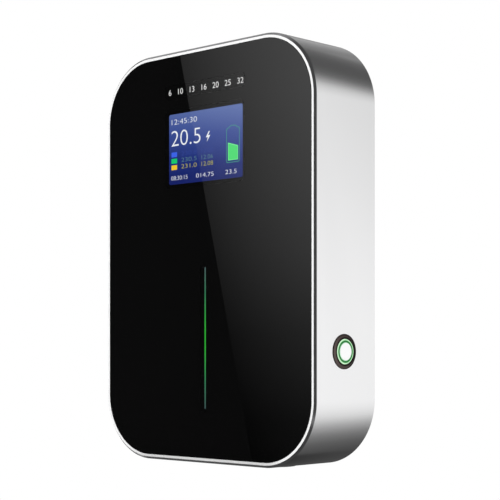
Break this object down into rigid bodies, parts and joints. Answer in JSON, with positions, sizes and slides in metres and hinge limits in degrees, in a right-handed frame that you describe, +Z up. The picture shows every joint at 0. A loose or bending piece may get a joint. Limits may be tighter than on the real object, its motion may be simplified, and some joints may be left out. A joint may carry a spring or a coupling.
{
  "type": "ev wallbox",
  "caption": "Wall-hung charger for an electric car: rounded satin aluminium frame, black glass front with a screen and a light line, lit push-button in its side, wall bracket behind.",
  "frame": {"origin": "on the wall plane, in the middle of the wall bracket's four fixing holes, level with the middle of the box", "axes": "+X to the right of someone facing the charger, +Y into the wall, +Z up; the glass front faces -Y"},
  "size_m": [0.2215, 0.0735, 0.3149],
  "materials": {
    "satin_aluminium": "fine satin sides with a polished front rim",
    "black_glass": "polished, printed black on its back",
    "black_foam": "closed-cell foam tape",
    "display": "lit blue screen",
    "clear_acrylic": "clear, lit green",
    "black_moulding": "moulded",
    "zinc_steel": "zinc plated",
    "circuit_board": "solder resist",
    "shield_can": "pressed can",
    "white_led": "diffused",
    "painted_cover": "fine textured powder coat",
    "black_rubber": "moulded",
    "green_moulding": "moulded",
    "blue_moulding": "moulded",
    "yellow_moulding": "moulded",
    "plated_brass": "plated",
    "grey_cable": "flat cable",
    "dark_chrome": "polished dark plating",
    "green_lens": "translucent, lit",
    "bright_steel": "bright"
  },
  "bodies": {
    "housing": {"frame": "satin_aluminium", "front_glass": "black_glass", "glass_tape": "black_foam", "display_module": "display", "light_guide": "clear_acrylic", "front_carrier": "black_moulding", "relays": "black_moulding", "button_switch": "black_moulding", "processor": "black_moulding", "supply_module": "black_moulding", "carrier_screws": "zinc_steel", "cover_screws": "zinc_steel", "power_board_screws": "zinc_steel", "lock_screw": "zinc_steel", "hanging_studs": "zinc_steel", "wall_bracket": "zinc_steel", "button_spring": "zinc_steel", "control_board": "circuit_board", "light_board": "circuit_board", "power_board": "circuit_board", "wireless_module": "shield_can", "can_capacitors": "shield_can", "indicator_leds": "white_led", "rear_cover": "painted_cover", "cover_gasket": "black_rubber", "cable_grommets": "black_rubber", "button_seal": "black_rubber", "mains_terminals": "green_moulding", "vehicle_terminals": "green_moulding", "residual_current_sensor": "blue_moulding", "current_transformers": "blue_moulding", "varistors": "blue_moulding", "film_capacitors": "yellow_moulding", "fuse": "plated_brass", "earth_stud": "plated_brass", "earth_nut": "plated_brass", "button_terminals": "plated_brass", "button_nut": "plated_brass", "ribbon_sockets": "grey_cable", "ribbon_cable": "grey_cable", "button_bezel": "dark_chrome"},
    "button": {"button_plunger": "green_lens", "button_cap": "bright_steel"}
  },
  "joints": [
    {"name": "button_press", "type": "slide", "parent": "housing", "child": "button", "axis": [-1, 0, 0], "range_m": [0, 0.0025], "stiffness_N_per_m": 1200, "springref_m": -0.001, "deforming": ["button_spring"]}
  ]
}
